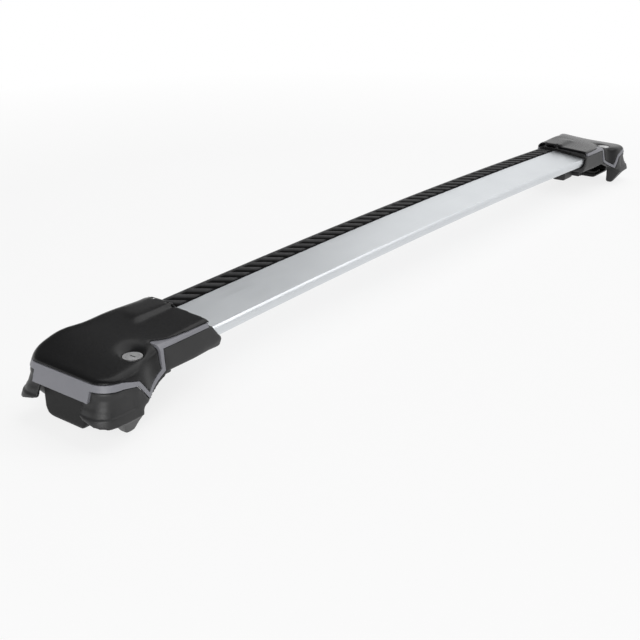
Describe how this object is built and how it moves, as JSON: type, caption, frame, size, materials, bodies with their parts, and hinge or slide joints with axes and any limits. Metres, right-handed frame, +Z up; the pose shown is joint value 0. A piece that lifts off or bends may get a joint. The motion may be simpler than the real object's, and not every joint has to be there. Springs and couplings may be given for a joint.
{
  "type": "roof rack crossbar",
  "caption": "Aerofoil roof rack crossbar with a ribbed top strip and a lockable clamping foot at each end for raised roof rails",
  "frame": {"origin": "middle of the bar at the height of the feet's lowest points", "axes": "+X along the bar, +Y towards its leading edge with the ribbed strip, +Z up"},
  "size_m": [1.1328, 0.1174, 0.0741],
  "materials": {
    "bar_metal": "satin anodised",
    "rubber": "matte",
    "black_plastic": "satin",
    "grey_plastic": "satin",
    "charcoal_plastic": "fine grain",
    "jaw_plastic": "black powder coat",
    "cast_metal": "cast",
    "steel": "zinc plated",
    "lock_metal": "satin"
  },
  "bodies": {
    "rack": {"crossbar": "bar_metal", "ribbed_strip": "rubber", "left_foot_body": "charcoal_plastic", "left_foot_core": "cast_metal", "left_rail_pad": "rubber", "left_mouth_seal": "rubber", "left_bar_screws": "steel", "left_core_nut": "steel", "left_hinge_pin": "steel", "right_foot_body": "charcoal_plastic", "right_foot_core": "cast_metal", "right_rail_pad": "rubber", "right_mouth_seal": "rubber", "right_bar_screws": "steel", "right_core_nut": "steel", "right_hinge_pin": "steel"},
    "left_lid": {"left_cover": "black_plastic", "left_cover_trim": "grey_plastic", "left_lock_barrel": "lock_metal"},
    "left_lock": {"left_lock_plug": "lock_metal", "left_lock_cam": "steel"},
    "left_jaw": {"left_clamp_jaw": "jaw_plastic", "left_jaw_pad": "rubber"},
    "left_bolt": {"left_clamp_bolt": "steel", "left_bolt_washer": "steel", "left_bolt_clip": "steel"},
    "right_lid": {"right_cover": "black_plastic", "right_cover_trim": "grey_plastic", "right_lock_barrel": "lock_metal"},
    "right_lock": {"right_lock_plug": "lock_metal", "right_lock_cam": "steel"},
    "right_jaw": {"right_clamp_jaw": "jaw_plastic", "right_jaw_pad": "rubber"},
    "right_bolt": {"right_clamp_bolt": "steel", "right_bolt_washer": "steel", "right_bolt_clip": "steel"}
  },
  "joints": [
    {"name": "left_lid_hinge", "type": "hinge", "parent": "rack", "child": "left_lid", "pos_m": [-0.4224, 0.019, 0.0702], "axis": [0, 1, 0], "range_deg": [0, 60]},
    {"name": "left_lock_turn", "type": "hinge", "parent": "left_lid", "child": "left_lock", "pos_m": [-0.506, -0.032, 0.05], "axis": [0, 0, -1], "range_deg": [0, 90]},
    {"name": "left_jaw_slide", "type": "slide", "parent": "rack", "child": "left_jaw", "axis": [-1, 0, 0], "range_m": [0, 0.012]},
    {"name": "left_bolt_turn", "type": "hinge", "parent": "left_jaw", "child": "left_bolt", "pos_m": [-0.53, 0, 0.0494], "axis": [-1, 0, 0], "range_deg": [0, 3460]},
    {"name": "right_lid_hinge", "type": "hinge", "parent": "rack", "child": "right_lid", "pos_m": [0.4224, 0.019, 0.0702], "axis": [0, -1, 0], "range_deg": [0, 60]},
    {"name": "right_lock_turn", "type": "hinge", "parent": "right_lid", "child": "right_lock", "pos_m": [0.506, -0.032, 0.05], "axis": [0, 0, 1], "range_deg": [0, 90]},
    {"name": "right_jaw_slide", "type": "slide", "parent": "rack", "child": "right_jaw", "axis": [1, 0, 0], "range_m": [0, 0.012]},
    {"name": "right_bolt_turn", "type": "hinge", "parent": "right_jaw", "child": "right_bolt", "pos_m": [0.53, 0, 0.0494], "axis": [1, 0, 0], "range_deg": [0, 3460]}
  ],
  "couplings": [
    {"joint": "left_bolt_turn", "follows": "left_jaw_slide", "rad_per_m": 5026.5},
    {"joint": "right_bolt_turn", "follows": "right_jaw_slide", "rad_per_m": 5026.5}
  ]
}
